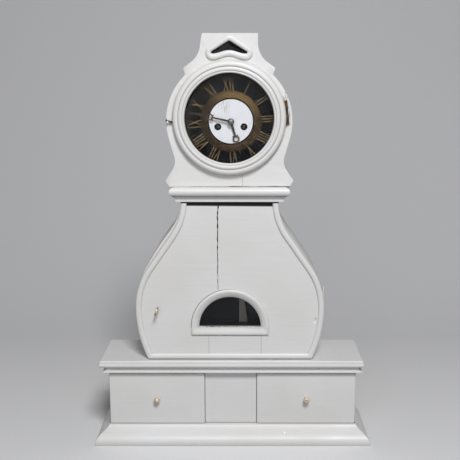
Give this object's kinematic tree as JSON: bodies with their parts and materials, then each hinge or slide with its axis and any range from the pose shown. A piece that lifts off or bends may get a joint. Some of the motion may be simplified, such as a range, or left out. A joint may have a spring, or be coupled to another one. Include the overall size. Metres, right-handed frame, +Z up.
{
  "type": "table clock",
  "caption": "Painted wooden table clock with a round glazed dial door, a bellied waist with a half-moon window, and a wide base with two drawers.",
  "frame": {"origin": "on the ground at the middle of the base's width and depth", "axes": "+Z up, the dial and the drawers face -Y, +X to the right seen from the front"},
  "size_m": [0.5188, 0.137, 0.76],
  "materials": {
    "paint": "satin",
    "bare_wood": "matte",
    "knob": "gloss",
    "smoked_glass": "gloss",
    "clear_glass": "gloss",
    "steel": "satin",
    "brass": "satin",
    "bronze": "satin",
    "black": "satin",
    "white": "satin"
  },
  "bodies": {
    "case": {"base_floor": "bare_wood", "base_sides": "paint", "base_back": "bare_wood", "drawer_frame": "bare_wood", "plinth_mouldings": "paint", "shelf_board": "paint", "shelf_mouldings": "paint", "waist_sides": "paint", "case_back": "bare_wood", "waist_hinge_case_leaf": "paint", "neck_moulding": "paint", "inner_boards": "bare_wood", "hood_front_board": "paint", "hood_walls": "paint", "crest_frame": "paint", "crest_glass": "smoked_glass", "bezel_hinge_case_leaf": "brass", "dial_plate": "black", "chapter_ring": "brass", "dial_centre": "white", "movement_front_plate": "brass", "movement_back_plate": "brass", "gong": "steel"},
    "left_drawer": {"left_drawer_front": "paint", "left_drawer_box": "bare_wood", "left_drawer_knob": "knob"},
    "right_drawer": {"right_drawer_front": "paint", "right_drawer_box": "bare_wood", "right_drawer_knob": "knob"},
    "waist_door": {"waist_door_panel": "paint", "waist_door_beads": "paint", "window_frame": "paint", "window_glass": "smoked_glass", "door_lock": "steel", "waist_hinge_door_leaf": "paint"},
    "key": {"door_key": "brass"},
    "bolt": {"lock_bolt": "steel"},
    "dial_door": {"bezel_ring": "paint", "bezel_glass": "clear_glass", "bezel_hinge_door_leaf": "brass", "catch_eye": "brass"},
    "hook": {"catch_hook": "bronze"},
    "minute": {"minute_hand": "bronze", "cannon_pinion": "brass"},
    "minute_wheel_body": {"minute_wheel": "brass"},
    "hour": {"hour_hand": "bronze", "hour_wheel": "brass"},
    "going_great": {"going_great_wheel": "brass"},
    "going_arbor": {"going_winding_arbor": "steel"},
    "centre": {"centre_wheel": "brass"},
    "third": {"third_wheel": "brass"},
    "escape": {"escape_wheel": "brass"},
    "pallets": {"anchor": "steel"},
    "pendulum": {"pendulum_rod": "steel", "pendulum_bob": "brass"},
    "strike_great": {"strike_great_wheel": "brass"},
    "strike_arbor": {"strike_winding_arbor": "steel"},
    "strike_second": {"strike_second_wheel": "brass"},
    "fly": {"strike_fly": "brass"},
    "hammer_body": {"hammer": "steel"}
  },
  "joints": [
    {"name": "left_drawer_slide", "type": "slide", "parent": "case", "child": "left_drawer", "axis": [0, -1, 0], "range_m": [0, 0.075]},
    {"name": "right_drawer_slide", "type": "slide", "parent": "case", "child": "right_drawer", "axis": [0, -1, 0], "range_m": [0, 0.075]},
    {"name": "waist_door_hinge", "type": "hinge", "parent": "case", "child": "waist_door", "pos_m": [0.1688, -0.033, 0.2645], "axis": [0, 0, 1], "range_deg": [0, 95]},
    {"name": "bolt_slide", "type": "slide", "parent": "waist_door", "child": "bolt", "axis": [-1, 0, 0], "range_m": [0, 0.006]},
    {"name": "key_turn", "type": "hinge", "parent": "waist_door", "child": "key", "pos_m": [-0.1402, -0.0332, 0.26], "axis": [0, 1, 0], "range_deg": [0, 90]},
    {"name": "dial_door_hinge", "type": "hinge", "parent": "case", "child": "dial_door", "pos_m": [0.09803, -0.0506, 0.62378], "axis": [-0.1045, 0, 0.9945], "range_deg": [0, 110]},
    {"name": "catch_hook_turn", "type": "hinge", "parent": "dial_door", "child": "hook", "pos_m": [-0.1074, -0.051, 0.6068], "axis": [0, 1, 0], "range_deg": [-14, 66]},
    {"name": "minute_turn", "type": "hinge", "parent": "case", "child": "minute", "pos_m": [-0.0018, -0.03, 0.607], "axis": [0, 1, 0], "continuous": true},
    {"name": "minute_wheel_turn", "type": "hinge", "parent": "case", "child": "minute_wheel_body", "pos_m": [-0.0018, -0.025, 0.592], "axis": [0, 1, 0], "continuous": true},
    {"name": "hour_turn", "type": "hinge", "parent": "case", "child": "hour", "pos_m": [-0.0018, -0.03, 0.607], "axis": [0, 1, 0], "continuous": true},
    {"name": "escape_turn", "type": "hinge", "parent": "case", "child": "escape", "pos_m": [-0.0018, 0.006, 0.6404], "axis": [0, 1, 0], "continuous": true},
    {"name": "third_turn", "type": "hinge", "parent": "case", "child": "third", "pos_m": [-0.0018, 0, 0.625], "axis": [0, 1, 0], "continuous": true},
    {"name": "centre_turn", "type": "hinge", "parent": "case", "child": "centre", "pos_m": [-0.0018, 0, 0.607], "axis": [0, 1, 0], "continuous": true},
    {"name": "going_great_turn", "type": "hinge", "parent": "case", "child": "going_great", "pos_m": [0.0216, 0, 0.5975], "axis": [0, 1, 0], "continuous": true},
    {"name": "going_winding_turn", "type": "hinge", "parent": "case", "child": "going_arbor", "pos_m": [0.0216, 0, 0.5975], "axis": [0, 1, 0], "continuous": true},
    {"name": "fly_turn", "type": "hinge", "parent": "case", "child": "fly", "pos_m": [-0.02781, 0, 0.63605], "axis": [0, 1, 0], "continuous": true},
    {"name": "strike_second_turn", "type": "hinge", "parent": "case", "child": "strike_second", "pos_m": [-0.03279, 0, 0.62159], "axis": [0, 1, 0], "continuous": true},
    {"name": "strike_great_turn", "type": "hinge", "parent": "case", "child": "strike_great", "pos_m": [-0.0252, 0, 0.5975], "axis": [0, 1, 0], "continuous": true},
    {"name": "strike_winding_turn", "type": "hinge", "parent": "case", "child": "strike_arbor", "pos_m": [-0.0252, 0, 0.5975], "axis": [0, 1, 0], "continuous": true},
    {"name": "pendulum_swing", "type": "hinge", "parent": "case", "child": "pendulum", "pos_m": [-0.0018, 0.025, 0.65695], "axis": [0, 1, 0], "range_deg": [-3.5, 3.5]},
    {"name": "anchor_rock", "type": "hinge", "parent": "case", "child": "pallets", "pos_m": [-0.0018, 0.006, 0.65695], "axis": [0, 1, 0], "range_deg": [-3.5, 3.5]},
    {"name": "hammer_lift", "type": "hinge", "parent": "case", "child": "hammer_body", "pos_m": [-0.0438, 0.018, 0.645], "axis": [0, 1, 0], "range_deg": [0, 15]}
  ],
  "couplings": [
    {"joint": "key_turn", "follows": "bolt_slide", "rad_per_m": 261.8},
    {"joint": "minute_wheel_turn", "follows": "minute_turn", "ratio": -0.33333},
    {"joint": "hour_turn", "follows": "minute_turn", "ratio": 0.083333},
    {"joint": "third_turn", "follows": "escape_turn", "ratio": -0.1},
    {"joint": "centre_turn", "follows": "escape_turn", "ratio": 0.011111},
    {"joint": "going_great_turn", "follows": "escape_turn", "ratio": -0.0012346},
    {"joint": "strike_second_turn", "follows": "fly_turn", "ratio": -0.13333},
    {"joint": "strike_great_turn", "follows": "fly_turn", "ratio": 0.014815},
    {"joint": "anchor_rock", "follows": "pendulum_swing", "ratio": 1}
  ]
}
